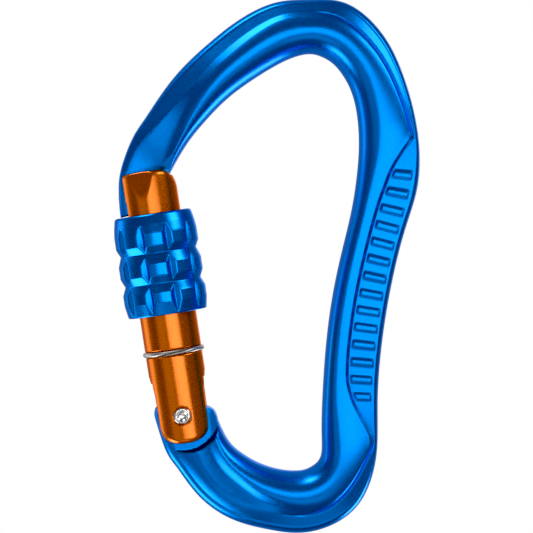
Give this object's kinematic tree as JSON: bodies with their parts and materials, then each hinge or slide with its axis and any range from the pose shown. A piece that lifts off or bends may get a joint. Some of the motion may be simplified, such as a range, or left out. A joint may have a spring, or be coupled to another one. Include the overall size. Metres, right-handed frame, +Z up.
{
  "type": "screw-lock carabiner",
  "caption": "Asymmetric forged carabiner with a sprung key-nose gate, a fluted screw-lock sleeve and a wire stop ring.",
  "frame": {"origin": "rope-bearing point at the middle of the inner surface of the top bend", "axes": "+Z up along the load line towards the top bend, +X towards the spine, Y across the thickness (front is -Y)"},
  "size_m": [0.0584, 0.016, 0.1019],
  "materials": {
    "body_blue": "satin blue anodised",
    "gate_orange": "satin orange anodised",
    "sleeve_blue": "machined blue anodised",
    "ring_steel": "drawn stainless wire",
    "rivet_steel": "polished stainless",
    "plunger_brass": "turned",
    "spring_steel": "spring wire"
  },
  "bodies": {
    "frame": {"frame_body": "body_blue"},
    "gate": {"gate": "gate_orange", "hinge_rivet": "rivet_steel", "gate_spring": "spring_steel"},
    "plunger": {"spring_plunger": "plunger_brass"},
    "ring": {"stop_ring": "ring_steel"},
    "sleeve": {"screw_sleeve": "sleeve_blue"}
  },
  "joints": [
    {"name": "gate_hinge", "type": "hinge", "parent": "frame", "child": "gate", "pos_m": [-0.0241, 0, -0.0688], "axis": [0, 1, 0], "range_deg": [0, 35], "stiffness_Nm_per_rad": 0.41, "springref_deg": -50.42},
    {"name": "plunger_slide", "type": "slide", "parent": "gate", "child": "plunger", "axis": [-0.1506, 0, 0.9886], "range_m": [0, 0.00125], "deforming": ["gate_spring"]},
    {"name": "sleeve_turn", "type": "hinge", "parent": "gate", "child": "ring", "pos_m": [-0.0241, 0, -0.0688], "axis": [-0.1506, 0, 0.9886], "range_deg": [-1225, 1153]},
    {"name": "sleeve_travel", "type": "slide", "parent": "ring", "child": "sleeve", "axis": [-0.1506, 0, 0.9886], "range_m": [-0.0068, 0.0064]}
  ],
  "couplings": [
    {"joint": "plunger_slide", "follows": "gate_hinge", "m_per_rad": 0.002},
    {"joint": "sleeve_turn", "follows": "sleeve_travel", "rad_per_m": 3141.6}
  ]
}
